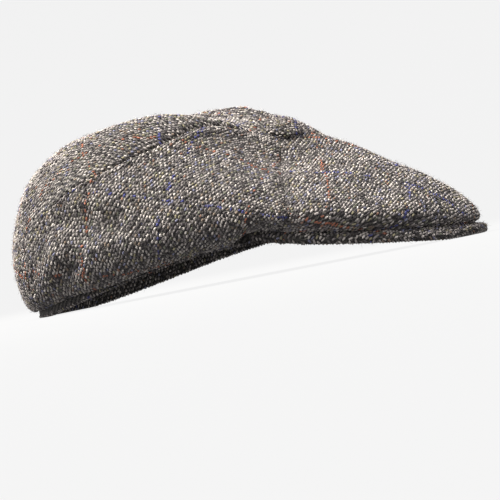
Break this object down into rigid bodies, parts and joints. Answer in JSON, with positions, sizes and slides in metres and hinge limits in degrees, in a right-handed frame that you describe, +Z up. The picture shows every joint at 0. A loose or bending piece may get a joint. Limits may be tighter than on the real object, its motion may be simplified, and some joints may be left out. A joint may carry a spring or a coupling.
{
  "type": "flat cap",
  "caption": "Soft tweed flat cap with a full panelled crown, a covered button on top, a short stiff peak under the crown's front and a headband round the open head hollow.",
  "frame": {"origin": "middle of the cap's length and width, on the surface it rests on", "axes": "+X the way the peak points, +Y the wearer's left, +Z up from the surface it rests on"},
  "size_m": [0.2732, 0.2062, 0.1001],
  "materials": {
    "crown_tweed": "salt and pepper wool tweed with a faint coloured overcheck",
    "peak_tweed": "salt and pepper wool tweed",
    "under_tweed": "darker wool tweed"
  },
  "bodies": {
    "root": {"crown_front": "crown_tweed", "crown_left": "crown_tweed", "crown_back": "crown_tweed", "crown_right": "crown_tweed", "button": "crown_tweed", "peak_top": "peak_tweed", "peak_under": "under_tweed", "headband": "under_tweed"}
  },
  "joints": []
}
